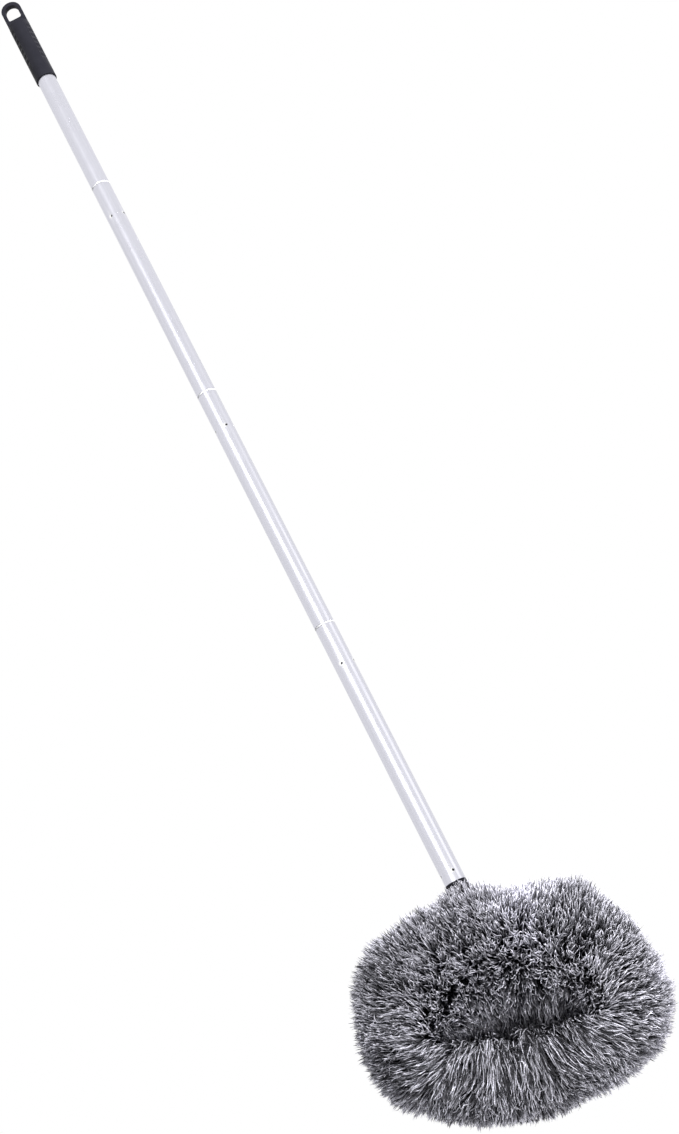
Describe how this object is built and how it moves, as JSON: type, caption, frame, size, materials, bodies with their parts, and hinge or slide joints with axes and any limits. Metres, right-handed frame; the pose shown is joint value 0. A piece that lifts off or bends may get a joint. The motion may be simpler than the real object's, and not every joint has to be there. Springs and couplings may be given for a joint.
{
  "type": "ceiling fan duster",
  "caption": "Long-handled ceiling fan duster: screwed aluminium pole with a moulded grip and an oval fluffy head open through its middle for a fan blade.",
  "frame": {"origin": "top of the hang hole in the grip's tongue, in the middle of its thickness, on the pole's axis, where a hook bears", "axes": "+Z along the pole from the head to the grip, as the duster hangs; the front of the head faces -Y; +X to the right as seen from the front"},
  "size_m": [0.3025, 0.1167, 1.4306],
  "materials": {
    "aluminium": "drawn and anodised silver tube, faintly lilac, satin",
    "black_plastic": "black moulded plastic, satin",
    "white_plastic": "white moulded plastic",
    "grey_plastic": "grey moulded plastic",
    "loop_strip": "natural flexible plastic strip",
    "screw_steel": "plain steel screws",
    "grey_pile": "grey microfibre pile on a knitted backing",
    "elastic": "dark grey elastic"
  },
  "bodies": {
    "handle": {"grip": "black_plastic", "tube_1": "aluminium", "thread_insert_1": "white_plastic"},
    "ring_1": {"joint_ring_1": "white_plastic"},
    "section_2": {"thread_plug_2": "grey_plastic", "tube_2": "aluminium", "thread_insert_2": "grey_plastic"},
    "ring_2": {"joint_ring_2": "white_plastic"},
    "section_3": {"thread_plug_3": "grey_plastic", "tube_3": "aluminium", "thread_insert_3": "grey_plastic"},
    "ring_3": {"joint_ring_3": "white_plastic"},
    "section_4": {"thread_plug_4": "grey_plastic", "tube_4": "aluminium", "thread_insert_4": "grey_plastic"},
    "collar": {"collar_ring": "black_plastic"},
    "head": {"neck": "black_plastic", "hub_front": "grey_plastic", "hub_back": "grey_plastic", "hub_screw_1": "screw_steel", "hub_screw_2": "screw_steel", "hub_screw_3": "screw_steel", "hub_screw_4": "screw_steel", "loop_frame": "loop_strip", "neck_elastic": "elastic", "pile_top": "grey_pile", "pile_upper_right": "grey_pile", "pile_right_end": "grey_pile", "pile_lower_right": "grey_pile", "pile_lower_left": "grey_pile", "pile_left_end": "grey_pile", "pile_upper_left": "grey_pile"}
  },
  "joints": [
    {"name": "joint_1_back_off", "type": "slide", "parent": "handle", "child": "ring_1", "axis": [0, 0, -1], "range_m": [0, 0.014]},
    {"name": "joint_1_unscrew", "type": "hinge", "parent": "ring_1", "child": "section_2", "pos_m": [0, 0, -0.287], "axis": [0, 0, -1], "range_deg": [0, 1260.5]},
    {"name": "joint_2_back_off", "type": "slide", "parent": "section_2", "child": "ring_2", "axis": [0, 0, -1], "range_m": [0, 0.014]},
    {"name": "joint_2_unscrew", "type": "hinge", "parent": "ring_2", "child": "section_3", "pos_m": [0, 0, -0.587], "axis": [0, 0, -1], "range_deg": [0, 1260.5]},
    {"name": "joint_3_back_off", "type": "slide", "parent": "section_3", "child": "ring_3", "axis": [0, 0, -1], "range_m": [0, 0.014]},
    {"name": "joint_3_unscrew", "type": "hinge", "parent": "ring_3", "child": "section_4", "pos_m": [0, 0, -0.887], "axis": [0, 0, -1], "range_deg": [0, 1260.5]},
    {"name": "head_back_off", "type": "slide", "parent": "section_4", "child": "collar", "axis": [0, 0, -1], "range_m": [0, 0.014]},
    {"name": "head_unscrew", "type": "hinge", "parent": "collar", "child": "head", "pos_m": [0, 0, -1.187], "axis": [0, 0, -1], "range_deg": [0, 1260.5]}
  ],
  "couplings": [
    {"joint": "joint_1_unscrew", "follows": "joint_1_back_off", "rad_per_m": 1570.8},
    {"joint": "joint_2_unscrew", "follows": "joint_2_back_off", "rad_per_m": 1570.8},
    {"joint": "joint_3_unscrew", "follows": "joint_3_back_off", "rad_per_m": 1570.8},
    {"joint": "head_unscrew", "follows": "head_back_off", "rad_per_m": 1570.8}
  ]
}
